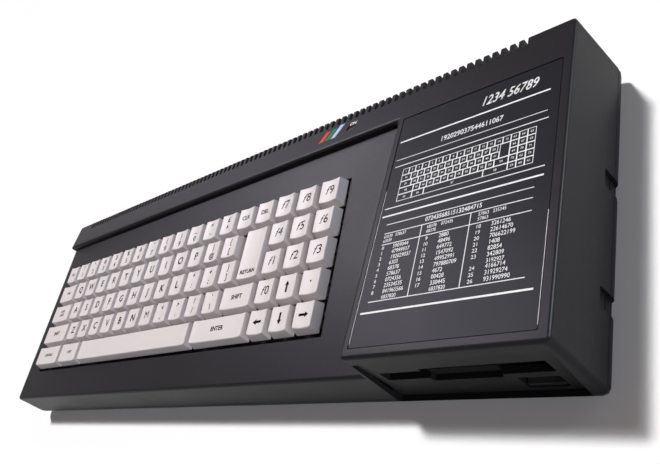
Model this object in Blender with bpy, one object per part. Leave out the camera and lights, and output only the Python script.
"""Eight-bit home computer with its keyboard and a three-inch disc drive in one case.

Metres, +Z up, the front towards -Y. The origin lies on the surface that it stands on,
under the middle of the case. Heights are measured from the case's underside, which
rubber feet hold above that surface.
"""

import math

import bmesh
import bpy
from mathutils import Vector

# Fits
gap = 0.0003
slip = 0.0004
overrun = 0.002

# Case
case_width = 0.5088
case_depth = 0.1723
case_height = 0.0483
wall = 0.0025
widest_height = 0.006
side_lean = 0.0036
front_lean = 0.003
rear_lean = 0.0033
seam_height = 0.008
rim_height = 0.0028
rim_thickness = 0.0015
belly_inset = 0.0045
edge_round = 0.0014
corner_round = 0.003
notch_length = 0.009
notch_top = 0.0145
notch_depth = 0.0016
notches_from_front = (0.0368, 0.096)
foot_height = 0.002
foot_radius = 0.007
foot_side_inset = 0.028
foot_front_inset = 0.022
foot_rear_inset = 0.02

# Keyboard deck and rear ridge
deck_front_height = 0.0302
deck_tilt = math.radians(5.3)
ridge_depth = 0.024
vent_pitch = 0.00505
vent_width = 0.0024
vent_reach = 0.0028
vent_drop = 0.014
vent_margin = 0.0258
lamp_width = 0.0062
lamp_depth = 0.0034
lamp_height = 0.006
lamp_from_left = 0.3618
lamp_from_rear = 0.0139

# Drive housing, at the right of the deck
housing_width = 0.1015
label_width = 0.0923
label_depth = 0.1368
label_from_right = 0.0047
label_from_front = 0.0047
label_recess = 0.0011
label_thickness = 0.0006

# Case screws and the towers that take them
screw_radius = 0.0014
screw_head_radius = 0.0028
screw_head_height = 0.0018
screw_length = 0.012
screw_hole_radius = 0.0019
head_hole_radius = 0.0034
tower_radius = 0.005
tower_height = 0.005
boss_radius = 0.003
screw_side_inset = 0.0066
screw_front_inset = 0.0138
screw_rear_inset = 0.0135
screw_beside_housing = 0.0105

# Keys
key_pitch = 0.01905
key_margin_left = 0.0236
key_margin_front = 0.0248
key_clearance = 0.00075
key_top_width = 0.0137
key_top_depth = 0.0144
key_skirt_shift = 0.0011
key_rise = 0.0065
key_skirt_drop = 0.003
key_dish = 0.0008
key_travel = 0.0035
stem_width = 0.005
stem_length = 0.0075
space_bar_guide_pitch = 0.057
well_margin = 0.0007

# Strips that join the keys of one run, hidden below the deck
web_depth = 0.002
web_thickness = 0.001

# Keyboard frame, return mat, membrane and back plate
frame_side_margin = 0.006
frame_front_margin = 0.008
frame_rear_margin = 0.0068
frame_wall = 0.002
frame_plate = 0.002
dome_top_radius = 0.0022
dome_foot_radius = 0.0038
dome_height = 0.0042
mat_thickness = 0.0005
membrane_thickness = 0.0005
back_plate_thickness = 0.0012

# Main board
board_thickness = 0.0016
board_height = 0.0112
board_from_left = 0.0102
board_length = 0.3735
board_from_front = 0.044
board_rear_gap = 0.0005
board_post_width = 0.006
chip_height = 0.0038
chip_width = 0.0075
wide_chip_width = 0.014
chip_length = 0.02
wide_chip_length = 0.052
chip_pitch = 0.032
small_chip_columns = 8
wide_chip_columns = 4
chip_row_pitch = 0.022
chips_from_left = 0.06
chips_from_front = 0.016

# Sockets at the rear and the left
port_height = 0.0207
edge_port_height = 0.0115
edge_port_drop = 0.0022
edge_margin = 0.002
expansion_length = 0.07
second_drive_length = 0.05
printer_length = 0.05
expansion_from_left = 0.042
second_drive_from_left = 0.133
printer_from_left = 0.204
monitor_from_left = 0.285
supply_from_left = 0.31
gland_from_left = 0.33
switch_from_left = 0.355
din_width = 0.0162
din_depth = 0.0118
din_collar_radius = 0.0074
din_bore_radius = 0.0066
din_bore_depth = 0.009
supply_width = 0.011
supply_depth = 0.013
supply_collar_radius = 0.0046
supply_bore_radius = 0.0034
supply_bore_depth = 0.009
collar_sink = 0.0002
gland_radius = 0.0046
gland_bore_radius = 0.0022
gland_reach_in = 0.0065
gland_reach_out = 0.0011
switch_width = 0.021
switch_depth = 0.0095
switch_body_height = 0.0125
switch_knob_width = 0.0055
switch_knob_height = 0.0048
switch_knob_reach = 0.0062
switch_travel = 0.0045
switch_track_depth = 0.0035
joystick_from_front = 0.086
joystick_flange_length = 0.031
joystick_flange_height = 0.0125
joystick_body_depth = 0.011
joystick_shell_length = 0.0185
joystick_shell_height = 0.0096
joystick_shell_taper = 0.0012
joystick_shell_wall = 0.0009
joystick_shell_reach = 0.0028
joystick_bore_depth = 0.0075
joystick_height = 0.0201
jack_from_front = 0.116
jack_width = 0.011
jack_depth = 0.012
jack_bore_depth = 0.011
jack_collar_radius = 0.0042
jack_bore_radius = 0.0018
tape_from_front = 0.138
volume_from_front = 0.052
wheel_radius = 0.009
wheel_thickness = 0.003
wheel_height = 0.0167
wheel_sink = 0.0003
wheel_axle_radius = 0.0015
volume_width = 0.0085
speaker_radius = 0.016
speaker_height = 0.009
speaker_magnet_radius = 0.009
speaker_magnet_share = 0.45
speaker_from_left = 0.0378
speaker_from_front = 0.147

# Disc drive, placed from the housing's right and front
drive_from_right = 0.051
bezel_width = 0.0941
bezel_from_right = 0.0035
bezel_bottom = 0.0035
bezel_top = 0.0415
bezel_thickness = 0.0035
bezel_setback = 0.0005
bezel_gap = 0.0005
slot_width = 0.082
slot_bottom = 0.022
slot_top = 0.032
slot_low_top = 0.0298
slot_low_width = 0.0235
notch_bottom = 0.0192
notch_width = 0.0352
eject_hole_width = 0.018
eject_hole_height = 0.0102
eject_hole_bottom = 0.0074
eject_from_right = 0.02
chassis_width = 0.088
chassis_depth = 0.148
chassis_sheet = 0.0015
chassis_bottom = 0.006
chassis_top = 0.04
plate_height = 0.014
plate_setback = 0.01
rail_width = 0.0022
rail_bottom = 0.022
rail_top = 0.033
ledge_width = 0.0035
ledge_top = 0.024
guide_setback = 0.01
guide_length = 0.092
flap_width = 0.0778
flap_thickness = 0.0014
flap_bottom = 0.0205
flap_hinge_height = 0.034
flap_setback = 0.0017
flap_tab_width = 0.0345
flap_tab_top = 0.029
flap_tab_bottom = 0.0203
flap_tab_depth = 0.0019
flap_pin_radius = 0.0008
eject_width = 0.0164
eject_bottom = 0.0079
eject_height = 0.009
eject_face_sink = 0.0024
eject_lip = 0.0003
eject_depth = 0.007
eject_stem_width = 0.006
eject_stem_height = 0.003
eject_stem_length = 0.014
bracket_depth = 0.003
bracket_setback = 0.0125
bracket_side = 0.003

# Disc drive mechanism
spindle_setback = 0.0537
flywheel_radius = 0.02
flywheel_bottom = 0.0075
flywheel_thickness = 0.003
spindle_radius = 0.003
hub_radius = 0.008
hub_thickness = 0.003
hub_top = 0.0236
bearing_radius = 0.007
bearing_top = 0.0185
bearing_bottom = 0.0115
motor_radius = 0.0135
motor_height = 0.0175
motor_offset = 0.0275
motor_setback = 0.1247
pulley_radius = 0.005
pulley_shaft_radius = 0.0016
belt_thickness = 0.001
belt_width = 0.0024
carriage_width = 0.034
carriage_depth = 0.01
carriage_bottom = 0.0162
carriage_top = 0.0227
carriage_setback = 0.0887
head_radius = 0.002
head_rise = 0.0012
rod_radius = 0.0015
rod_offset = 0.013
axis_height = 0.0195
rod_start = 0.0607
rod_end = 0.1127
support_width = 0.008
support_depth = 0.002
screw_thread_radius = 0.002
stepper_radius = 0.0095
stepper_depth = 0.018
stepper_mount_setback = 0.1172
stepper_mount_width = 0.024
stepper_mount_top = 0.031
stepper_bay_margin = 0.002
drive_board_height = 0.0357
drive_board_thickness = 0.0016
drive_board_setback = 0.04
drive_board_length = 0.1
drive_board_side_gap = 0.0005
board_tab_width = 0.0025
board_tab_length = 0.006
board_tab_thickness = 0.0015

# Sides of the round pieces
round_sides = 16
small_round_sides = 8
dome_sides = 6
flywheel_sides = 28
corner_steps = 2

# Keys, each as row from the front, start and width in key pitches
single_key_shares = {
    "esc": (4, 0, 1), "clr": (4, 13, 1), "del": (4, 14, 1),
    "tab": (3, 0, 1.5), "caps_lock": (2, 0, 1.75),
    "left_shift": (1, 0, 2.25), "right_shift": (1, 13.25, 1.75),
    "control": (0, 0, 2.25), "copy": (0, 2.25, 1.75), "enter": (0, 12, 3),
    "up_arrow": (1, 16, 1),
    "left_arrow": (0, 15, 1), "down_arrow": (0, 16, 1), "right_arrow": (0, 17, 1),
}
space_bar_share = (0, 4, 8)
return_share = (2, 13.75, 1.25)
return_foot_share = (3, 13.5, 1.5)
key_run_shares = {
    "number": (4, 1, 12), "upper_letter": (3, 1.5, 12),
    "home_letter": (2, 1.75, 12), "lower_letter": (1, 2.25, 11),
}
keypad_left_share = 15
keypad_right_share = 17
board_post_shares = ((0.04, 0.06), (0.04, 0.86), (0.5, 0.06), (0.5, 0.86), (0.96, 0.06), (0.96, 0.8))
drive_post_shares = (0.07, 0.86)


# Places worked out from the sizes

def front_y(height):
    """Outer front face at a height: it leans back from the seam up to the deck."""
    share = (height - widest_height) / (deck_front_height - widest_height)
    return -case_depth / 2 + front_lean * min(max(share, 0), 1)


def lean_share(height):
    """How far the sides and the rear have leaned in at a height, from none at the widest place to all at the top."""
    return max(height - widest_height, 0) / (case_height - widest_height)


def rear_y(height):
    """Outer rear face at a height."""
    return case_depth / 2 - rear_lean * lean_share(height)


def side_x(height):
    """Half of the outer width at a height."""
    return case_width / 2 - side_lean * lean_share(height)


def deck_height(y):
    """Height of the sloping deck at a place between the front and the ridge."""
    return deck_front_height + (y - front_y(deck_front_height)) * math.tan(deck_tilt)


top_left_x = -side_x(case_height)
top_right_x = side_x(case_height)
top_front_y = front_y(case_height)
top_rear_y = rear_y(case_height)
ridge_front_y = top_rear_y - ridge_depth
housing_left_x = top_right_x - housing_width
field_left_x = top_left_x + key_margin_left
field_columns = 18
field_rows = 5
field_width = field_columns * key_pitch
field_depth = field_rows * key_pitch

frame_top = -wall - gap
plate_top = -key_skirt_drop - key_travel - slip
plate_bottom = plate_top - frame_plate
stem_bottom = -key_skirt_drop - stem_length
dome_top = stem_bottom - gap
frame_bottom = dome_top - dome_height
mat_top = frame_bottom - gap
membrane_top = mat_top - mat_thickness - gap
back_plate_top = membrane_top - membrane_thickness - gap

drive_x = top_right_x - drive_from_right
bezel_right_x = top_right_x - bezel_from_right
bezel_left_x = bezel_right_x - bezel_width
bezel_front_y = top_front_y + bezel_setback
bezel_back_y = bezel_front_y + bezel_thickness
chassis_front_y = bezel_back_y + gap
chassis_left_x = drive_x - chassis_width / 2
chassis_right_x = drive_x + chassis_width / 2
bay_half_width = chassis_width / 2 - chassis_sheet
plate_underside = plate_height
plate_upper = plate_height + chassis_sheet
spindle_y = chassis_front_y + spindle_setback
motor_x = drive_x - motor_offset
motor_y = chassis_front_y + motor_setback
stepper_mount_y = chassis_front_y + stepper_mount_setback
screw_axis_x = drive_x + rod_offset
rod_axis_x = drive_x - rod_offset
carriage_y = chassis_front_y + carriage_setback
eject_x = top_right_x - eject_from_right
hinge_y = chassis_front_y + flap_setback

board_left_x = top_left_x + board_from_left
board_right_x = board_left_x + board_length
board_front_y = top_front_y + board_from_front
board_top = board_height + board_thickness
board_rear_y = rear_y(board_height) - wall - board_rear_gap
part_floor = board_top + gap


def rear_face_y(height):
    """Inner rear face at a height, less a touching gap."""
    return rear_y(height) - wall - gap


def left_face_x(height):
    """Inner left face at a height, less a touching gap."""
    return wall + gap - side_x(height)


# Meshes

def add_box(bm, low, high):
    """A closed box between two corners."""
    corners = [(x, y, z) for z in (low[2], high[2]) for y in (low[1], high[1]) for x in (low[0], high[0])]
    v = [bm.verts.new(c) for c in corners]
    for a, b, c, d in ((0, 2, 3, 1), (4, 5, 7, 6), (0, 1, 5, 4), (2, 6, 7, 3), (0, 4, 6, 2), (1, 3, 7, 5)):
        bm.faces.new((v[a], v[b], v[c], v[d]))


def add_rings(bm, rings):
    """A closed body through rings of equal length, with its two ends filled."""
    loops = [[bm.verts.new(point) for point in ring] for ring in rings]
    count = len(loops[0])
    for lower, upper in zip(loops, loops[1:]):
        for i in range(count):
            j = (i + 1) % count
            bm.faces.new((lower[i], lower[j], upper[j], upper[i]))
    bm.faces.new(list(reversed(loops[0])))
    bm.faces.new(loops[-1])


def add_prism(bm, profile, left_at, right_at):
    """A profile of (y, height) points drawn from the left to the right, whose places follow the height."""
    left = [Vector((left_at(z), y, z)) for y, z in profile]
    right = [Vector((right_at(z), y, z)) for y, z in profile]
    add_rings(bm, (left, right))


def axes_for(axis):
    """Two directions square to an axis letter, then the axis itself."""
    units = {"X": Vector((1, 0, 0)), "Y": Vector((0, 1, 0)), "Z": Vector((0, 0, 1))}
    order = {"X": "YZX", "Y": "ZXY", "Z": "XYZ"}[axis]
    return [units[letter] for letter in order]


def add_turned(bm, centre, axis, profile, sides):
    """A solid of revolution: profile holds (distance along the axis, radius) from one end to the other."""
    across, up, along = axes_for(axis)
    base = Vector(centre)
    turn = math.pi / sides
    rings = []
    for distance, radius in profile:
        ring = []
        for i in range(sides):
            angle = turn + 2 * turn * i
            ring.append(base + along * distance + (across * math.cos(angle) + up * math.sin(angle)) * radius)
        rings.append(ring)
    add_rings(bm, rings)


def add_cylinder(bm, centre, axis, radius, start, end, sides):
    """A plain round bar from start to end along the axis through a centre."""
    add_turned(bm, centre, axis, ((start, radius), (end, radius)), sides)


# Objects

for old in list(bpy.data.objects):
    bpy.data.objects.remove(old, do_unlink=True)


def new_empty(name, place, tilt=0.0, parent=None):
    """A datum that pieces are placed from."""
    empty = bpy.data.objects.new(name, None)
    empty.location = place
    empty.rotation_euler = (tilt, 0, 0)
    empty.parent = parent
    bpy.context.scene.collection.objects.link(empty)
    return empty


def new_material(name, colour, roughness, metallic=0.0):
    """A plain surface with its colour, roughness and metallic value."""
    material = bpy.data.materials.new(name)
    material.use_nodes = True
    shader = material.node_tree.nodes["Principled BSDF"]
    shader.inputs["Base Color"].default_value = (*colour, 1)
    shader.inputs["Roughness"].default_value = roughness
    shader.inputs["Metallic"].default_value = metallic
    return material


def new_piece(name, bm, material, parent, origin=(0, 0, 0), smooth=False):
    """An object from a bmesh that was drawn in its parent's axes, with its origin at a chosen point."""
    place = Vector(origin)
    bmesh.ops.translate(bm, verts=bm.verts, vec=-place)
    bmesh.ops.recalc_face_normals(bm, faces=bm.faces)
    mesh = bpy.data.meshes.new(name)
    bm.to_mesh(mesh)
    bm.free()
    if smooth:
        mesh.shade_smooth()
        mesh.set_sharp_from_angle(angle=math.radians(40))
    piece = bpy.data.objects.new(name, mesh)
    piece.location = place
    piece.parent = parent
    if material:
        mesh.materials.append(material)
    bpy.context.scene.collection.objects.link(piece)
    return piece


def shape_with(piece, operation, bm, origin=(0, 0, 0)):
    """Joins a body to a piece, or cuts it away, by a Boolean with a hidden tool."""
    index = len(piece.modifiers)
    tool = new_piece(f"{piece.name}_tool_{index}", bm, None, piece.parent, origin)
    tool.hide_render = True
    tool.display_type = "WIRE"
    modifier = piece.modifiers.new(f"{operation.lower()}_{index}", "BOOLEAN")
    modifier.operation = operation
    modifier.object = tool
    return tool


case_plastic = new_material("case_plastic", (0.035, 0.035, 0.04), 0.55)
base_plastic = new_material("base_plastic", (0.03, 0.03, 0.034), 0.6)
key_plastic = new_material("key_plastic", (0.72, 0.7, 0.68), 0.45)
label_film = new_material("label_film", (0.03, 0.031, 0.036), 0.4)
lamp_lens = new_material("lamp_lens", (0.45, 0.02, 0.02), 0.25)
frame_plastic = new_material("frame_plastic", (0.05, 0.05, 0.05), 0.6)
mat_rubber = new_material("mat_rubber", (0.3, 0.3, 0.3), 0.7)
membrane_film = new_material("membrane_film", (0.5, 0.5, 0.46), 0.4)
plate_steel = new_material("plate_steel", (0.6, 0.6, 0.6), 0.4, 1.0)
board_green = new_material("board_green", (0.04, 0.16, 0.07), 0.5)
socket_black = new_material("socket_black", (0.03, 0.03, 0.03), 0.45)
socket_steel = new_material("socket_steel", (0.62, 0.62, 0.62), 0.3, 1.0)
switch_black = new_material("switch_black", (0.02, 0.02, 0.02), 0.4)
bezel_plastic = new_material("bezel_plastic", (0.04, 0.04, 0.043), 0.5)
belt_rubber = new_material("belt_rubber", (0.02, 0.02, 0.02), 0.8)
foot_rubber = new_material("foot_rubber", (0.02, 0.02, 0.02), 0.9)
wheel_plastic = new_material("wheel_plastic", (0.1, 0.1, 0.1), 0.5)
alloy = new_material("alloy", (0.7, 0.7, 0.7), 0.35, 1.0)

underside = new_empty("underside", (0, 0, foot_height))
keyboard_plane = new_empty(
    "keyboard_plane", (field_left_x, front_y(deck_front_height), deck_front_height), deck_tilt, underside)


# Case

screw_places = [
    (-side_x(case_height) + screw_side_inset, top_front_y + screw_front_inset),
    (housing_left_x - screw_beside_housing, top_front_y + screw_front_inset),
    (-side_x(case_height) + screw_side_inset, rear_y(0) - screw_rear_inset),
    (side_x(case_height) - screw_side_inset, rear_y(0) - screw_rear_inset),
]


def deck_profile(inset, bottom):
    """Section of the case through the keys: front, sloping deck, ridge and rear, moved in by an inset."""
    front = ridge_front_y + inset
    top = case_height - inset
    drop = inset / math.cos(deck_tilt)
    deck_front_y = front_y(deck_front_height) + inset
    return [
        (front_y(bottom) + inset, bottom), (deck_front_y, deck_height(deck_front_y) - drop),
        (front, deck_height(front) - drop), (front, top),
        (rear_y(top) - inset, top), (rear_y(bottom) - inset, bottom),
    ]


def housing_profile(inset, bottom):
    """Section of the case through the drive, moved in by an inset."""
    top = case_height - inset
    return [
        (front_y(bottom) + inset, bottom), (front_y(deck_front_height) + inset, deck_front_height),
        (front_y(top) + inset, top), (rear_y(top) - inset, top), (rear_y(bottom) - inset, bottom),
    ]


def port_cut(bm, wall_side, along, height, length, opening_height):
    """A square cut through the rear or the left wall, centred at a place and a height."""
    low = height - opening_height / 2
    high = height + opening_height / 2
    if wall_side == "rear":
        add_box(bm, (along - length / 2, rear_y(high) - wall - overrun, low),
                (along + length / 2, rear_y(low) + overrun, high))
    else:
        add_box(bm, (-side_x(low) - overrun, along - length / 2, low),
                (-side_x(high) + wall + overrun, along + length / 2, high))


def make_upper_case():
    """Upper shell: deck, ridge and drive housing, with the openings that its neighbours need."""
    bottom = seam_height + gap / 2
    bm = bmesh.new()
    add_prism(bm, deck_profile(0, bottom), lambda z: -side_x(z), lambda z: housing_left_x + wall)
    shell = new_piece("upper_case", bm, case_plastic, underside)
    round_edges(shell, bottom)
    bm = bmesh.new()
    add_prism(bm, housing_profile(0, bottom), lambda z: housing_left_x, side_x)
    round_edges(shape_with(shell, "UNION", bm), bottom)
    bm = bmesh.new()
    add_prism(bm, deck_profile(wall, bottom - overrun), lambda z: wall - side_x(z),
              lambda z: housing_left_x + wall + overrun)
    shape_with(shell, "DIFFERENCE", bm)
    bm = bmesh.new()
    add_prism(bm, housing_profile(wall, bottom - overrun), lambda z: housing_left_x + wall,
              lambda z: side_x(z) - wall)
    shape_with(shell, "DIFFERENCE", bm)
    add_bosses(shell)
    cut_keyboard_well(shell)
    cut_front_and_top(shell)
    cut_vents(shell)
    cut_side_notches(shell)
    cut_ports(shell)
    return shell


def round_edges(piece, bottom):
    """Rounds a shell's outer edges, more at its upright corners, and leaves those round its open underside."""
    mesh = piece.data
    weights = mesh.attributes.new("bevel_weight_edge", "FLOAT", "EDGE")
    for edge, weight in zip(mesh.edges, weights.data):
        ends = [mesh.vertices[i].co for i in edge.vertices]
        rise = abs(ends[0].z - ends[1].z)
        if max(end.z for end in ends) > bottom + gap:
            weight.value = 1 if rise > wall else edge_round / corner_round
    bevel = piece.modifiers.new("round_edges", "BEVEL")
    bevel.limit_method = "WEIGHT"
    bevel.width = corner_round
    bevel.segments = corner_steps


def add_bosses(shell):
    """Posts from the ceiling down to the towers of the lower shell, each with its screw hole."""
    bm = bmesh.new()
    for x, y in screw_places:
        ceiling = case_height if y > ridge_front_y else deck_height(y)
        start = tower_height + gap
        add_cylinder(bm, (x, y, 0), "Z", boss_radius, start, ceiling - wall / 2, small_round_sides)
    shape_with(shell, "UNION", bm)
    bm = bmesh.new()
    for x, y in screw_places:
        hole_top = screw_head_height + screw_length + overrun
        add_cylinder(bm, (x, y, 0), "Z", screw_hole_radius, tower_height - overrun, hole_top, small_round_sides)
    shape_with(shell, "DIFFERENCE", bm)


def cut_keyboard_well(shell):
    """Opening in the deck round the key skirts."""
    bm = bmesh.new()
    low_v = key_margin_front - key_skirt_shift - well_margin
    add_box(bm, (-well_margin, low_v, -wall - overrun),
            (field_width + well_margin, low_v + field_depth + 2 * well_margin, overrun))
    tool = shape_with(shell, "DIFFERENCE", bm)
    tool.parent = keyboard_plane


def cut_front_and_top(shell):
    """Openings for the drive's bezel, the label and the lamp."""
    bm = bmesh.new()
    add_box(bm, (bezel_left_x - bezel_gap, -case_depth / 2 - overrun, 0),
            (bezel_right_x + bezel_gap, top_front_y + wall + overrun, bezel_top + bezel_gap))
    label_right = top_right_x - label_from_right
    label_front = top_front_y + label_from_front
    add_box(bm, (label_right - label_width, label_front, case_height - label_recess),
            (label_right, label_front + label_depth, case_height + overrun))
    x, y = lamp_place()
    add_box(bm, (x - lamp_width / 2, y - lamp_depth / 2, case_height - wall - overrun),
            (x + lamp_width / 2, y + lamp_depth / 2, case_height + overrun))
    shape_with(shell, "DIFFERENCE", bm)


def lamp_place():
    """Centre of the power lamp on the ridge."""
    return top_left_x + lamp_from_left, top_rear_y - lamp_from_rear


def cut_vents(shell):
    """Comb of air slots over the rear top edge."""
    bm = bmesh.new()
    count = int((top_right_x - top_left_x - 2 * vent_margin) / vent_pitch) + 1
    first = -(count - 1) * vent_pitch / 2
    for i in range(count):
        x = first + i * vent_pitch
        add_box(bm, (x - vent_width / 2, top_rear_y - vent_reach, case_height - vent_drop),
                (x + vent_width / 2, top_rear_y + rear_lean, case_height + overrun))
    shape_with(shell, "DIFFERENCE", bm)


def edge_ports():
    """Centres and lengths of the three board-edge ports."""
    return [
        (top_left_x + expansion_from_left + expansion_length / 2, expansion_length),
        (top_left_x + second_drive_from_left + second_drive_length / 2, second_drive_length),
        (top_left_x + printer_from_left + printer_length / 2, printer_length),
    ]


def cut_side_notches(shell):
    """Shallow notches in the lower edge of both sides."""
    bm = bmesh.new()
    for from_front in notches_from_front:
        front = from_front - case_depth / 2 - notch_length / 2
        for side in (-1, 1):
            inner = side * (side_x(notch_top) - notch_depth)
            outer = side * (side_x(0) + overrun)
            add_box(bm, (min(inner, outer), front, -overrun), (max(inner, outer), front + notch_length, notch_top))
    shape_with(shell, "DIFFERENCE", bm)


def cut_ports(shell):
    """Openings in the rear and left walls for the sockets, the switch and the volume wheel."""
    bm = bmesh.new()
    middle = board_height - edge_port_drop + edge_port_height / 2
    for x, length in edge_ports():
        port_cut(bm, "rear", x, middle, length, edge_port_height)
    port_cut(bm, "rear", top_left_x + switch_from_left, port_height,
             switch_knob_width + switch_travel + 4 * slip, switch_knob_height + 4 * slip)
    port_cut(bm, "left", top_front_y + joystick_from_front, joystick_height,
             joystick_shell_length + 2 * gap, joystick_shell_height + 2 * gap)
    port_cut(bm, "left", top_front_y + volume_from_front, wheel_height + wheel_thickness / 2,
             2 * wheel_radius - wheel_axle_radius, wheel_thickness + 2 * slip)
    for x, radius in ((monitor_from_left, din_collar_radius), (supply_from_left, supply_collar_radius),
                      (gland_from_left, gland_radius)):
        add_cylinder(bm, (top_left_x + x, rear_y(port_height), port_height), "Y", radius + gap,
                     -wall - 2 * overrun, rear_lean, round_sides)
    for y, radius in ((jack_from_front, jack_collar_radius), (tape_from_front, din_collar_radius)):
        add_cylinder(bm, (-side_x(port_height), top_front_y + y, port_height), "X", radius + gap,
                     -overrun, wall + overrun, round_sides)
    shape_with(shell, "DIFFERENCE", bm)


def make_lower_case():
    """Tray with rounded lower edges, an inner rim behind the seam, posts and screw towers."""
    def ring(height, inset):
        """Outline of the case at a height, moved in, with its four upright corners rounded."""
        corners = ((-1, front_y(height) + inset, 1.0), (1, front_y(height) + inset, 1.5),
                   (1, rear_y(height) - inset, 0.0), (-1, rear_y(height) - inset, 0.5))
        points = []
        for side, y, start in corners:
            x = side * (side_x(height) - inset - corner_round)
            centre_y = y - math.copysign(corner_round, y)
            for i in range(corner_steps + 1):
                angle = math.pi * (start + i / (2 * corner_steps))
                points.append(Vector((x + corner_round * math.cos(angle), centre_y + corner_round * math.sin(angle),
                                      height)))
        return points

    seam = seam_height - gap / 2
    rim_top = seam + rim_height
    rim_inset = wall + gap
    bm = bmesh.new()
    add_rings(bm, (
        ring(0, belly_inset), ring(widest_height / 4, belly_inset / 2), ring(widest_height / 2, belly_inset / 6),
        ring(widest_height, 0), ring(seam, 0), ring(seam, rim_inset), ring(rim_top, rim_inset),
        ring(rim_top, rim_inset + rim_thickness),
        ring(wall, rim_inset + rim_thickness),
    ))
    tray = new_piece("lower_case", bm, base_plastic, underside)
    bm = bmesh.new()
    for x, y in screw_places:
        add_cylinder(bm, (x, y, 0), "Z", tower_radius, wall / 2, tower_height, small_round_sides)
    half = board_post_width / 2
    for across, back in board_post_shares:
        x = board_left_x + board_length * across
        y = board_front_y + (board_rear_y - board_front_y) * back
        add_box(bm, (x - half, y - half, wall / 2), (x + half, y + half, board_height - gap))
    for share in drive_post_shares:
        y = chassis_front_y + chassis_depth * share
        for x in (chassis_left_x + chassis_sheet / 2, chassis_right_x - chassis_sheet / 2):
            add_box(bm, (x - half / 2, y - half, wall / 2), (x + half / 2, y + half, chassis_bottom - gap))
    shape_with(tray, "UNION", bm)
    bm = bmesh.new()
    for x, y in screw_places:
        shoulder = screw_head_height + 2 * gap
        add_turned(bm, (x, y, 0), "Z", ((-overrun, head_hole_radius), (shoulder, head_hole_radius),
                                        (shoulder, screw_hole_radius), (tower_height + overrun, screw_hole_radius)),
                   small_round_sides)
    add_box(bm, (bezel_left_x - bezel_gap, -case_depth / 2 - overrun, bezel_bottom - bezel_gap),
            (bezel_right_x + bezel_gap, bezel_back_y + wall, rim_top + overrun))
    shape_with(tray, "DIFFERENCE", bm)
    cut_side_notches(tray)
    return tray


def make_case_trim():
    """Feet, screws, label and lamp."""
    for side, x in (("left", -side_x(0) + foot_side_inset), ("right", side_x(0) - foot_side_inset)):
        for end, y in (("front", foot_front_inset - case_depth / 2), ("rear", case_depth / 2 - foot_rear_inset)):
            bm = bmesh.new()
            add_turned(bm, (x, y, 0), "Z", ((-foot_height, foot_radius - foot_height / 2), (-gap, foot_radius)),
                       round_sides)
            new_piece(f"rubber_foot_{end}_{side}", bm, foot_rubber, underside, (x, y, 0), smooth=True)

    head_top = screw_head_height + gap
    for number, (x, y) in enumerate(screw_places, start=1):
        bm = bmesh.new()
        add_turned(bm, (x, y, 0), "Z", ((gap, screw_head_radius), (head_top, screw_head_radius),
                                        (head_top, screw_radius), (head_top + screw_length, screw_radius)),
                   small_round_sides)
        new_piece(f"case_screw_{number}", bm, alloy, underside, (x, y, 0))

    bm = bmesh.new()
    right = top_right_x - label_from_right - gap
    front = top_front_y + label_from_front + gap
    low = case_height - label_recess + gap
    add_box(bm, (right - label_width + 2 * gap, front, low),
            (right, front + label_depth - 2 * gap, low + label_thickness))
    new_piece("label_plate", bm, label_film, underside)

    x, y = lamp_place()
    half_width = lamp_width / 2 - gap
    half_depth = lamp_depth / 2 - gap
    bm = bmesh.new()
    add_box(bm, (x - half_width, y - half_depth, case_height - lamp_height),
            (x + half_width, y + half_depth, case_height - gap))
    new_piece("power_lamp", bm, lamp_lens, underside)


# Keys, drawn in the deck's plane with their skirts' lower edge under it

def key_centre(share):
    """Centre of a key's cell in the deck's plane."""
    row, start, span = share
    return (start + span / 2) * key_pitch, key_margin_front + (row + 0.5) * key_pitch


def add_cap(bm, share, rows=1, stem=True, foot=None):
    """One key: a stem, a skirt that tapers from its cell to a smaller top, and a hollowed top."""
    row, start, span = share
    u, v = key_centre(share)
    v += (rows - 1) * key_pitch / 2
    bottom = -key_skirt_drop
    half_u = (span * key_pitch - key_clearance) / 2
    half_v = (rows * key_pitch - key_clearance) / 2
    top_u = half_u - (key_pitch - key_clearance - key_top_width) / 2
    top_v = half_v - (key_pitch - key_clearance - key_top_depth) / 2
    base_v = v - key_skirt_shift
    left = u - half_u
    if foot:
        left -= foot
    base = [(left, base_v - half_v, bottom), (u + half_u, base_v - half_v, bottom),
            (u + half_u, base_v + half_v, bottom), (left, base_v + half_v, bottom)]
    base = [bm.verts.new(p) for p in base]
    dips = (0, key_dish, key_dish, 0)
    height = key_rise + key_skirt_drop
    rails = []
    for edge, base_edge in ((v - top_v, base_v - half_v), (v + top_v, base_v + half_v)):
        rail = []
        for i, dip in enumerate(dips):
            across = u - top_u + 2 * top_u * i / (len(dips) - 1)
            along = edge + (base_edge - edge) * dip / height
            rail.append(bm.verts.new((across, along, key_rise - dip)))
        rails.append(rail)
    front, back = rails
    bm.faces.new([base[0], base[1]] + front[::-1])
    bm.faces.new([base[2], base[3]] + back)
    bm.faces.new((base[1], base[2], back[-1], front[-1]))
    bm.faces.new((base[3], base[0], front[0], back[0]))
    for i in range(len(dips) - 1):
        bm.faces.new((front[i], front[i + 1], back[i + 1], back[i]))
    if not stem:
        bm.faces.new(base[::-1])
        return
    half = stem_width / 2
    rims = []
    for depth in (bottom, stem_bottom):
        rims.append([bm.verts.new((u + x, base_v + y, depth))
                     for x, y in ((-half, -half), (half, -half), (half, half), (-half, half))])
    for i in range(4):
        j = (i + 1) % 4
        bm.faces.new((base[j], base[i], rims[0][i], rims[0][j]))
        bm.faces.new((rims[0][j], rims[0][i], rims[1][i], rims[1][j]))
    bm.faces.new(rims[1][::-1])


def space_bar_guides():
    """Places of the long key's stem and its two guides."""
    u, v = key_centre(space_bar_share)
    return [(u + side * space_bar_guide_pitch, v - key_skirt_shift) for side in (-1, 0, 1)]


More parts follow.
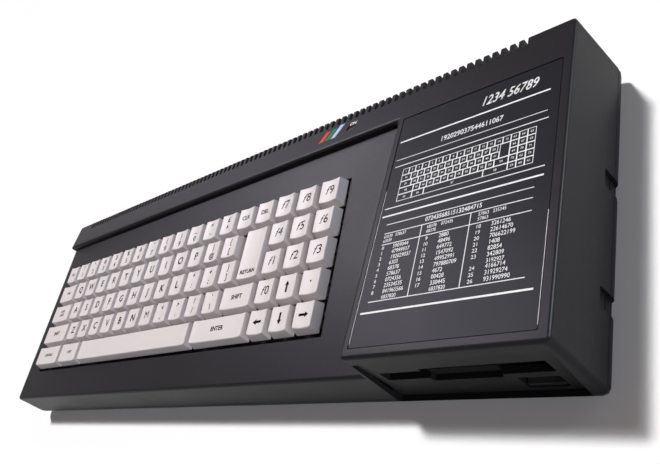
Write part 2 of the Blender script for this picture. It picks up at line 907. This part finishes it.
def run_of_keys(row, start, count):
    """Cells of a run of single-width keys."""
    return [(row, start + i, 1) for i in range(count)]


def keypad_rows():
    """Cells of the numbered function keys and the dot, row by row."""
    return [run_of_keys(row, keypad_left_share, 3) for row in (4, 3, 2)]


def keypad_ends():
    """Cells at both sides of the upward arrow."""
    return [(1, keypad_left_share, 1), (1, keypad_right_share, 1)]


def stem_places():
    """Every stem's centre in the deck's plane."""
    places = []
    shares = list(single_key_shares.values()) + keypad_ends()
    for row in keypad_rows():
        shares += row
    for row, start, count in key_run_shares.values():
        shares += run_of_keys(row, start, count)
    for share in shares:
        u, v = key_centre(share)
        places.append((u, v - key_skirt_shift))
    u, v = key_centre(return_share)
    places.append((u, v + key_pitch / 2 - key_skirt_shift))
    return places + space_bar_guides()


def make_key(name, shares):
    """A key, or several keys that share a node."""
    bm = bmesh.new()
    for share in shares:
        add_cap(bm, share)
    u, v = key_centre(shares[0])
    return new_piece(name, bm, key_plastic, keyboard_plane, (u, v, -key_skirt_drop))


def join_keys(keys, runs):
    """Thin strips through the skirts, from the first key of each run to its last, that make one body of them."""
    bm = bmesh.new()
    low = web_thickness / 2 - key_skirt_drop
    half = web_depth / 2
    for run in runs:
        u0, v0 = key_centre(run[0])
        u1, v1 = key_centre(run[-1])
        add_box(bm, (min(u0, u1) - half, min(v0, v1) - key_skirt_shift - half, low),
                (max(u0, u1) + half, max(v0, v1) - key_skirt_shift + half, low + web_thickness))
    shape_with(keys, "UNION", bm, tuple(keys.location))


def make_keys():
    """All the keys."""
    for name, share in single_key_shares.items():
        make_key(f"{name}_key", [share])
    for name, (row, start, count) in key_run_shares.items():
        run = run_of_keys(row, start, count)
        join_keys(make_key(f"{name}_keys", run), [run])
    rows = keypad_rows()
    ends = keypad_ends()
    pad = make_key("keypad_keys", rows[0] + rows[1] + rows[2] + ends)
    join_keys(pad, rows)
    join_keys(pad, [[rows[0][0], ends[0]], [rows[0][-1], ends[1]]])

    bm = bmesh.new()
    add_cap(bm, space_bar_share, stem=False)
    u, v = key_centre(space_bar_share)
    origin = (u, v, -key_skirt_drop)
    bar = new_piece("space_bar", bm, key_plastic, keyboard_plane, origin)
    bm = bmesh.new()
    half = stem_width / 2
    for x, y in space_bar_guides():
        add_box(bm, (x - half, y - half, stem_bottom), (x + half, y + half, 0))
    shape_with(bar, "UNION", bm, origin)

    bm = bmesh.new()
    add_cap(bm, return_share, rows=2)
    u, v = key_centre(return_share)
    origin = (u, v, -key_skirt_drop)
    key = new_piece("return_key", bm, key_plastic, keyboard_plane, origin)
    bm = bmesh.new()
    row, start, span = return_foot_share
    foot = (return_share[1] - start) * key_pitch
    add_cap(bm, (row, return_share[1], return_share[2]), stem=False, foot=foot)
    shape_with(key, "UNION", bm, origin)


def make_keyboard_frame():
    """Frame with a hole for each stem, and the return mat, membrane and back plate below it."""
    low_u = -frame_side_margin
    high_u = field_width + frame_side_margin
    low_v = key_margin_front - frame_front_margin
    high_v = key_margin_front + field_depth + frame_rear_margin
    bm = bmesh.new()
    add_box(bm, (low_u, low_v, frame_bottom), (high_u, high_v, frame_top))
    frame = new_piece("keyboard_frame", bm, frame_plastic, keyboard_plane)
    bm = bmesh.new()
    for low, high in ((plate_top, frame_top + overrun), (frame_bottom - overrun, plate_bottom)):
        add_box(bm, (low_u + frame_wall, low_v + frame_wall, low), (high_u - frame_wall, high_v - frame_wall, high))
    shape_with(frame, "DIFFERENCE", bm)
    bm = bmesh.new()
    half = stem_width / 2 + slip
    for u, v in stem_places():
        add_box(bm, (u - half, v - half, plate_bottom - overrun), (u + half, v + half, plate_top + overrun))
    shape_with(frame, "DIFFERENCE", bm)

    bm = bmesh.new()
    add_box(bm, (low_u, low_v, mat_top - mat_thickness), (high_u, high_v, mat_top))
    mat = new_piece("return_mat", bm, mat_rubber, keyboard_plane)
    bm = bmesh.new()
    for u, v in stem_places():
        add_turned(bm, (u, v, 0), "Z", ((mat_top - mat_thickness / 2, dome_foot_radius), (dome_top, dome_top_radius)),
                   dome_sides)
    shape_with(mat, "UNION", bm)

    bm = bmesh.new()
    add_box(bm, (low_u, low_v, membrane_top - membrane_thickness), (high_u, high_v, membrane_top))
    new_piece("keyboard_membrane", bm, membrane_film, keyboard_plane)

    bm = bmesh.new()
    add_box(bm, (low_u, low_v, back_plate_top - back_plate_thickness), (high_u, high_v, back_plate_top))
    new_piece("keyboard_back_plate", bm, plate_steel, keyboard_plane)


# Main board and what stands on it

def make_main_board():
    """Board with three edge tongues at the rear, and the chips, power switch and volume control soldered to it."""
    outline = [(board_left_x, board_front_y), (board_right_x, board_front_y), (board_right_x, board_rear_y)]
    tongue_y = rear_y(board_top) - gap
    for x, length in reversed(edge_ports()):
        half = length / 2 - edge_margin
        outline += [(x + half, board_rear_y), (x + half, tongue_y), (x - half, tongue_y), (x - half, board_rear_y)]
    outline.append((board_left_x, board_rear_y))
    bm = bmesh.new()
    add_rings(bm, [[Vector((x, y, z)) for x, y in outline] for z in (board_height, board_top)])
    board = new_piece("main_board", bm, board_green, underside)
    bm = bmesh.new()
    add_chips(bm)
    shape_with(board, "UNION", bm)
    add_power_switch(board)
    add_volume_control(board)


def add_chips(bm):
    """Three rows of chips on the board."""
    low = board_top - board_thickness / 2
    high = board_top + chip_height
    left = board_left_x + chips_from_left
    front = board_front_y + chips_from_front
    for i in range(small_chip_columns):
        x = left + i * chip_pitch
        for y in (front, front + chip_row_pitch):
            add_box(bm, (x, y, low), (x + chip_length, y + chip_width, high))
    y = front + 2 * chip_row_pitch
    for i in range(wide_chip_columns):
        x = left + i * (wide_chip_length + chip_width)
        add_box(bm, (x, y, low), (x + wide_chip_length, y + wide_chip_width, high))


def add_rear_socket(name, x, width, depth, collar_radius, bore_radius, bore_depth):
    """A socket on the board's rear edge: a body and a round collar that reaches into the wall."""
    top = 2 * port_height - part_floor
    face = rear_face_y(top)
    collar_end = rear_y(port_height + collar_radius) - collar_sink
    bm = bmesh.new()
    add_box(bm, (x - width / 2, face - depth, part_floor), (x + width / 2, face, top))
    socket = new_piece(name, bm, socket_black, underside)
    bm = bmesh.new()
    add_cylinder(bm, (x, 0, port_height), "Y", collar_radius, face - depth / 2, collar_end, round_sides)
    shape_with(socket, "UNION", bm)
    bm = bmesh.new()
    add_cylinder(bm, (x, 0, port_height), "Y", bore_radius, collar_end - bore_depth, collar_end + overrun,
                 round_sides)
    shape_with(socket, "DIFFERENCE", bm)


def add_left_socket(name, y, width, depth, collar_radius, bore_radius, bore_depth):
    """A socket on the board's left edge, made like those at the rear."""
    top = 2 * port_height - part_floor
    face = left_face_x(top)
    collar_end = collar_sink - side_x(port_height + collar_radius)
    bm = bmesh.new()
    add_box(bm, (face, y - width / 2, part_floor), (face + depth, y + width / 2, top))
    socket = new_piece(name, bm, socket_black, underside)
    bm = bmesh.new()
    add_cylinder(bm, (0, y, port_height), "X", collar_radius, collar_end, face + depth / 2, round_sides)
    shape_with(socket, "UNION", bm)
    bm = bmesh.new()
    add_cylinder(bm, (0, y, port_height), "X", bore_radius, collar_end - overrun, collar_end + bore_depth,
                 round_sides)
    shape_with(socket, "DIFFERENCE", bm)


def make_sockets():
    """Monitor and tape sockets, supply socket, headphone jack, joystick port and the lead's gland."""
    add_rear_socket("monitor_socket", top_left_x + monitor_from_left, din_width, din_depth, din_collar_radius,
                    din_bore_radius, din_bore_depth)
    add_rear_socket("supply_socket", top_left_x + supply_from_left, supply_width, supply_depth,
                    supply_collar_radius, supply_bore_radius, supply_bore_depth)
    add_left_socket("tape_socket", top_front_y + tape_from_front, din_width, din_depth, din_collar_radius,
                    din_bore_radius, din_bore_depth)
    add_left_socket("headphone_jack", top_front_y + jack_from_front, jack_width, jack_depth, jack_collar_radius,
                    jack_bore_radius, jack_bore_depth)
    make_joystick_port()

    x = top_left_x + gland_from_left
    start = rear_y(port_height) - gland_reach_in
    end = rear_y(port_height) + gland_reach_out
    bm = bmesh.new()
    add_cylinder(bm, (x, 0, port_height), "Y", gland_radius, start, end, round_sides)
    gland = new_piece("supply_lead_gland", bm, belt_rubber, underside)
    bm = bmesh.new()
    add_cylinder(bm, (x, 0, port_height), "Y", gland_bore_radius, start - overrun, end + overrun, small_round_sides)
    shape_with(gland, "DIFFERENCE", bm)


def shell_outline(x, y, z, inset):
    """Four-sided plug outline, wider above than below, in a plane square to X."""
    half = joystick_shell_length / 2 - inset
    high = joystick_shell_height / 2 - inset
    low_half = half - joystick_shell_taper
    return [Vector((x, y - low_half, z - high)), Vector((x, y + low_half, z - high)),
            Vector((x, y + half, z + high)), Vector((x, y - half, z + high))]


def make_joystick_port():
    """Nine-way plug on the left: a body behind the wall and a thin shell that reaches into it."""
    y = top_front_y + joystick_from_front
    z = joystick_height
    half = joystick_flange_length / 2
    high = joystick_flange_height / 2
    start = collar_sink - side_x(z + high)
    inner = left_face_x(z + high)
    bm = bmesh.new()
    add_box(bm, (inner, y - half, z - high), (inner + joystick_body_depth, y + half, z + high))
    port = new_piece("joystick_port", bm, socket_steel, underside)
    bm = bmesh.new()
    add_rings(bm, (shell_outline(start, y, z, gap), shell_outline(inner + joystick_shell_reach, y, z, gap)))
    shape_with(port, "UNION", bm)
    bm = bmesh.new()
    add_rings(bm, (shell_outline(start - overrun, y, z, gap + joystick_shell_wall),
                   shell_outline(start + joystick_bore_depth, y, z, gap + joystick_shell_wall)))
    shape_with(port, "DIFFERENCE", bm)


def add_power_switch(board):
    """Slide switch at the rear: a body with a track, and a knob that slides along it."""
    x = top_left_x + switch_from_left
    top = part_floor + switch_body_height
    face = rear_face_y(top)
    low = port_height - switch_knob_height / 2
    high = port_height + switch_knob_height / 2
    track_left = x - (switch_knob_width + switch_travel) / 2 - slip
    track_right = x + (switch_knob_width + switch_travel) / 2 + slip
    bm = bmesh.new()
    add_box(bm, (x - switch_width / 2, face - switch_depth, board_height + board_thickness / 2),
            (x + switch_width / 2, face, top))
    shape_with(board, "UNION", bm)
    bm = bmesh.new()
    add_box(bm, (track_left, face - switch_track_depth, low - slip), (track_right, face + overrun, high + slip))
    shape_with(board, "DIFFERENCE", bm)
    knob_left = track_left + slip
    start = face - switch_track_depth + gap
    bm = bmesh.new()
    add_box(bm, (knob_left, start, low), (knob_left + switch_knob_width, start + switch_knob_reach, high))
    new_piece("power_switch_knob", bm, switch_black, underside, (knob_left, start, port_height))


def add_volume_control(board):
    """Thumb wheel that shows in a slot of the left wall, on its control on the board."""
    x = -side_x(wheel_height) + wheel_sink + wheel_radius
    y = top_front_y + volume_from_front
    half = volume_width / 2
    top = wheel_height - gap
    bm = bmesh.new()
    add_box(bm, (x - half, y - half, board_height + board_thickness / 2),
            (board_left_x + volume_width, y + half, top))
    shape_with(board, "UNION", bm)
    bm = bmesh.new()
    add_cylinder(bm, (x, y, 0), "Z", wheel_axle_radius + slip, part_floor + gap, top + overrun, small_round_sides)
    shape_with(board, "DIFFERENCE", bm)
    bm = bmesh.new()
    add_turned(bm, (x, y, 0), "Z", ((part_floor + 3 * gap, wheel_axle_radius), (wheel_height, wheel_axle_radius),
                                    (wheel_height, wheel_radius), (wheel_height + wheel_thickness, wheel_radius)),
               round_sides)
    new_piece("volume_wheel", bm, wheel_plastic, underside, (x, y, wheel_height), smooth=True)


def make_speaker():
    """Small loudspeaker on the board, magnet down."""
    x = top_left_x + speaker_from_left
    y = top_front_y + speaker_from_front
    step = part_floor + speaker_height * speaker_magnet_share
    bm = bmesh.new()
    add_turned(bm, (x, y, 0), "Z", ((part_floor, speaker_magnet_radius), (step, speaker_magnet_radius),
                                    (step, speaker_radius), (part_floor + speaker_height, speaker_radius)),
               round_sides)
    new_piece("speaker", bm, plate_steel, underside, smooth=True)


# Disc drive

def make_drive_bezel():
    """Front plate of the drive: a wide slot with a thumb notch, and the hole for the eject button."""
    bm = bmesh.new()
    add_box(bm, (bezel_left_x, bezel_front_y, bezel_bottom), (bezel_right_x, bezel_back_y, bezel_top))
    bezel = new_piece("drive_bezel", bm, bezel_plastic, underside)
    left = drive_x - slot_width / 2
    right = drive_x + slot_width / 2
    step = left + slot_low_width
    notch_left = drive_x - notch_width / 2
    notch_right = drive_x + notch_width / 2
    outline = [(left, slot_bottom), (notch_left, slot_bottom), (notch_left, notch_bottom),
               (notch_right, notch_bottom), (notch_right, slot_bottom), (right, slot_bottom), (right, slot_top),
               (step, slot_top), (step, slot_low_top), (left, slot_low_top)]
    bm = bmesh.new()
    ends = (bezel_front_y - overrun, bezel_back_y + overrun)
    add_rings(bm, [[Vector((x, y, z)) for x, z in outline] for y in ends])
    half = eject_hole_width / 2
    add_box(bm, (eject_x - half, ends[0], eject_hole_bottom),
            (eject_x + half, ends[1], eject_hole_bottom + eject_hole_height))
    shape_with(bezel, "DIFFERENCE", bm)


def make_drive_chassis():
    """Steel tray of the drive: side walls, a plate across them, rails for the disc and the bearings' seats."""
    back_y = chassis_front_y + chassis_depth
    bm = bmesh.new()
    add_box(bm, (chassis_left_x, chassis_front_y, chassis_bottom), (chassis_right_x, back_y, chassis_top))
    chassis = new_piece("drive_chassis", bm, plate_steel, underside)
    left = drive_x - bay_half_width
    right = drive_x + bay_half_width
    front = chassis_front_y - overrun
    rear = back_y - chassis_sheet
    plate_front = chassis_front_y + plate_setback
    bm = bmesh.new()
    add_box(bm, (left, front, chassis_bottom - overrun), (right, plate_front, chassis_top + overrun))
    shape_with(chassis, "DIFFERENCE", bm)
    bm = bmesh.new()
    add_box(bm, (left, plate_front - gap, chassis_bottom - overrun), (right, rear, plate_underside))
    add_box(bm, (left, plate_front - gap, plate_upper), (right, rear, chassis_top + overrun))
    shape_with(chassis, "DIFFERENCE", bm)

    rail_front = chassis_front_y + guide_setback
    rail_back = rail_front + guide_length
    bm = bmesh.new()
    for side in (-1, 1):
        edge = drive_x + side * (bay_half_width + chassis_sheet / 2)
        ledge = drive_x + side * (bay_half_width - ledge_width)
        rail = drive_x + side * (bay_half_width - rail_width)
        outline = ((edge, rail_bottom), (ledge, rail_bottom), (ledge, ledge_top), (rail, ledge_top), (rail, rail_top),
                   (edge, rail_top))
        add_rings(bm, [[Vector((x, y, z)) for x, z in outline] for y in (rail_front, rail_back)])
        inner = drive_x + side * (bay_half_width - board_tab_width)
        tab_top = drive_board_height - gap
        for tab_y in (chassis_front_y + drive_board_setback,
                      chassis_front_y + drive_board_setback + drive_board_length - board_tab_length):
            add_box(bm, (min(edge, inner), tab_y, tab_top - board_tab_thickness),
                    (max(edge, inner), tab_y + board_tab_length, tab_top))
    shape_with(chassis, "UNION", bm)
    add_chassis_seats(chassis)
    cut_chassis_holes(chassis)
    add_guide_rod(chassis)


def add_chassis_seats(chassis):
    """Bearing for the spindle, supports for the rod and screw, the stepper's mount and the button's guide."""
    bm = bmesh.new()
    add_cylinder(bm, (drive_x, spindle_y, 0), "Z", bearing_radius, bearing_bottom, bearing_top, round_sides)
    half = support_width / 2
    top = axis_height + half
    for y in (chassis_front_y + rod_start, chassis_front_y + rod_end):
        add_box(bm, (rod_axis_x - half, y, plate_height + gap), (rod_axis_x + half, y + support_depth, top))
    y = chassis_front_y + rod_start
    add_box(bm, (screw_axis_x - half, y, plate_height + gap), (screw_axis_x + half, y + support_depth, top))
    half = stepper_mount_width / 2
    add_box(bm, (screw_axis_x - half, stepper_mount_y, plate_height + gap),
            (screw_axis_x + half, stepper_mount_y + chassis_sheet, stepper_mount_top))
    half = eject_stem_width / 2 + bracket_side
    y = chassis_front_y + bracket_setback
    add_box(bm, (eject_x - half, y, eject_stem_low() - bracket_side),
            (eject_x + half, y + bracket_depth, plate_upper - gap))
    shape_with(chassis, "UNION", bm)


def add_guide_rod(chassis):
    """Rod pressed into its two supports, which the head carriage slides on."""
    start = chassis_front_y + rod_start + support_depth / 2
    end = chassis_front_y + rod_end + support_depth / 2
    bm = bmesh.new()
    add_cylinder(bm, (rod_axis_x, 0, axis_height), "Y", rod_radius, start, end, small_round_sides)
    shape_with(chassis, "UNION", bm)


def eject_stem_low():
    """Underside of the eject button's stem."""
    return eject_bottom + (eject_height - eject_stem_height) / 4


def cut_chassis_holes(chassis):
    """Holes for the spindle, pulley shaft, lead screw, flap pins, button stem, and the stepper's bay."""
    bm = bmesh.new()
    add_cylinder(bm, (drive_x, spindle_y, 0), "Z", spindle_radius + slip, bearing_bottom - overrun,
                 bearing_top + overrun, round_sides)
    add_cylinder(bm, (motor_x, motor_y, 0), "Z", pulley_shaft_radius + slip, plate_underside - overrun,
                 plate_upper + overrun, small_round_sides)
    add_cylinder(bm, (screw_axis_x, 0, axis_height), "Y", screw_thread_radius + slip,
                 chassis_front_y + rod_start - overrun, stepper_mount_y + chassis_sheet + overrun, small_round_sides)
    half = eject_stem_width / 2 + slip
    y = chassis_front_y + bracket_setback
    add_box(bm, (eject_x - half, y - overrun, eject_stem_low() - slip),
            (eject_x + half, y + bracket_depth + overrun, eject_stem_low() + eject_stem_height + slip))
    for side in (-1, 1):
        edge = drive_x + side * (bay_half_width + chassis_sheet / 2)
        add_cylinder(bm, (edge, hinge_y, flap_hinge_height), "X", flap_pin_radius + gap, -chassis_sheet, chassis_sheet,
                     small_round_sides)
    shape_with(chassis, "DIFFERENCE", bm)
    half = stepper_radius + stepper_bay_margin
    bm = bmesh.new()
    add_box(bm, (screw_axis_x - half, stepper_mount_y + chassis_sheet, plate_underside - overrun),
            (screw_axis_x + half, stepper_mount_y + chassis_sheet + stepper_depth + 2 * stepper_bay_margin,
             plate_upper + overrun))
    shape_with(chassis, "DIFFERENCE", bm)


def make_drive_flap():
    """Dust flap behind the slot: a plate on two pins, with a thicker tab behind the thumb notch."""
    half = flap_width / 2
    front = hinge_y - flap_thickness
    back = hinge_y
    bm = bmesh.new()
    add_box(bm, (drive_x - half, front, flap_bottom), (drive_x + half, back, flap_hinge_height))
    origin = (drive_x, hinge_y, flap_hinge_height)
    flap = new_piece("drive_flap", bm, bezel_plastic, underside, origin)
    bm = bmesh.new()
    half_tab = flap_tab_width / 2
    add_box(bm, (drive_x - half_tab, front - flap_tab_depth, flap_tab_bottom),
            (drive_x + half_tab, back - flap_thickness / 2, flap_tab_top))
    add_cylinder(bm, (drive_x, hinge_y, flap_hinge_height), "X", flap_pin_radius,
                 -bay_half_width - chassis_sheet / 2, bay_half_width + chassis_sheet / 2, small_round_sides)
    shape_with(flap, "UNION", bm, origin)


def make_eject_button():
    """Button whose face slopes out towards its lower edge, with a stem behind it."""
    front_low = bezel_front_y + eject_lip
    front_high = front_low + eject_face_sink
    back = front_low + eject_depth
    top = eject_bottom + eject_height
    half = eject_width / 2
    bm = bmesh.new()
    profile = [(front_low, eject_bottom), (front_low, eject_bottom + eject_lip), (front_high, top), (back, top),
               (back, eject_bottom)]
    add_prism(bm, profile, lambda z: eject_x - half, lambda z: eject_x + half)
    origin = (eject_x, back, eject_stem_low())
    button = new_piece("eject_button", bm, bezel_plastic, underside, origin)
    bm = bmesh.new()
    half = eject_stem_width / 2
    low = eject_stem_low()
    add_box(bm, (eject_x - half, back - eject_lip, low),
            (eject_x + half, back + eject_stem_length, low + eject_stem_height))
    shape_with(button, "UNION", bm, origin)


def make_spindle_drive():
    """Flywheel with its spindle and hub, the motor, its pulley and the belt round both."""
    flywheel_top = flywheel_bottom + flywheel_thickness
    hub_bottom = hub_top - hub_thickness
    bm = bmesh.new()
    add_turned(bm, (drive_x, spindle_y, 0), "Z", (
        (flywheel_bottom, flywheel_radius), (flywheel_top, flywheel_radius), (flywheel_top, spindle_radius),
        (hub_bottom, spindle_radius), (hub_bottom, hub_radius), (hub_top, hub_radius)), flywheel_sides)
    new_piece("spindle_flywheel", bm, alloy, underside, (drive_x, spindle_y, flywheel_bottom), smooth=True)

    bm = bmesh.new()
    low = plate_upper + gap
    add_cylinder(bm, (motor_x, motor_y, 0), "Z", motor_radius, low, low + motor_height, round_sides)
    new_piece("spindle_motor", bm, plate_steel, underside, smooth=True)

    bm = bmesh.new()
    add_turned(bm, (motor_x, motor_y, 0), "Z", (
        (flywheel_bottom, pulley_radius), (flywheel_top, pulley_radius), (flywheel_top, pulley_shaft_radius),
        (plate_upper, pulley_shaft_radius)), round_sides)
    new_piece("motor_pulley", bm, alloy, underside, (motor_x, motor_y, flywheel_bottom), smooth=True)
    make_belt()


def belt_loop(offset, height):
    """Points round both pulleys at a distance from them: two arcs and the straight runs between."""
    start = Vector((drive_x, spindle_y))
    end = Vector((motor_x, motor_y))
    line = end - start
    heading = math.atan2(line.y, line.x)
    spread = math.acos((flywheel_radius - pulley_radius) / line.length)
    points = []
    for centre, radius, first, last, count in (
            (start, flywheel_radius, heading + spread, heading + 2 * math.pi - spread, 18),
            (end, pulley_radius, heading - spread, heading + spread, 8)):
        for i in range(count + 1):
            angle = first + (last - first) * i / count
            x = centre.x + (radius + offset) * math.cos(angle)
            y = centre.y + (radius + offset) * math.sin(angle)
            points.append(Vector((x, y, height)))
    return points


def make_belt():
    """Flat belt as one closed band."""
    low = flywheel_bottom + (flywheel_thickness - belt_width) / 2
    high = low + belt_width
    loops = ((2 * gap, low), (2 * gap + belt_thickness, low), (2 * gap + belt_thickness, high), (2 * gap, high))
    bm = bmesh.new()
    rings = [[bm.verts.new(point) for point in belt_loop(offset, height)] for offset, height in loops]
    count = len(rings[0])
    for a in range(len(rings)):
        b = (a + 1) % len(rings)
        for i in range(count):
            j = (i + 1) % count
            bm.faces.new((rings[a][i], rings[a][j], rings[b][j], rings[b][i]))
    new_piece("drive_belt", bm, belt_rubber, underside)


def make_head_positioner():
    """Head carriage on the chassis's rod and a lead screw, with the stepper motor that turns the screw."""
    half = carriage_width / 2
    back = carriage_y + carriage_depth
    bm = bmesh.new()
    add_box(bm, (drive_x - half, carriage_y, carriage_bottom), (drive_x + half, back, carriage_top))
    origin = (drive_x, carriage_y, axis_height)
    carriage = new_piece("head_carriage", bm, alloy, underside, origin)
    bm = bmesh.new()
    add_cylinder(bm, (drive_x, (carriage_y + back) / 2, 0), "Z", head_radius, carriage_top - head_rise,
                 carriage_top + head_rise, round_sides)
    shape_with(carriage, "UNION", bm, origin)
    bm = bmesh.new()
    start = carriage_y - overrun
    end = back + overrun
    add_cylinder(bm, (rod_axis_x, 0, axis_height), "Y", rod_radius + slip, start, end, small_round_sides)
    add_cylinder(bm, (screw_axis_x, 0, axis_height), "Y", screw_thread_radius + slip, start, end, small_round_sides)
    shape_with(carriage, "DIFFERENCE", bm, origin)

    start = chassis_front_y + rod_start
    end = stepper_mount_y + chassis_sheet
    bm = bmesh.new()
    add_cylinder(bm, (screw_axis_x, 0, axis_height), "Y", screw_thread_radius, start, end, small_round_sides)
    new_piece("lead_screw", bm, alloy, underside, (screw_axis_x, start, axis_height))

    bm = bmesh.new()
    start = end + gap
    add_cylinder(bm, (screw_axis_x, 0, axis_height), "Y", stepper_radius, start, start + stepper_depth, round_sides)
    new_piece("stepper_motor", bm, plate_steel, underside, smooth=True)


def make_drive_board():
    """Circuit board over the mechanism, on four tabs of the chassis."""
    half = bay_half_width - drive_board_side_gap
    front = chassis_front_y + drive_board_setback
    bm = bmesh.new()
    add_box(bm, (drive_x - half, front, drive_board_height),
            (drive_x + half, front + drive_board_length, drive_board_height + drive_board_thickness))
    new_piece("drive_board", bm, board_green, underside)


make_upper_case()
make_lower_case()
make_case_trim()
make_keys()
make_keyboard_frame()
make_main_board()
make_sockets()
make_speaker()
make_drive_bezel()
make_drive_chassis()
make_drive_flap()
make_eject_button()
make_spindle_drive()
make_head_positioner()
make_drive_board()
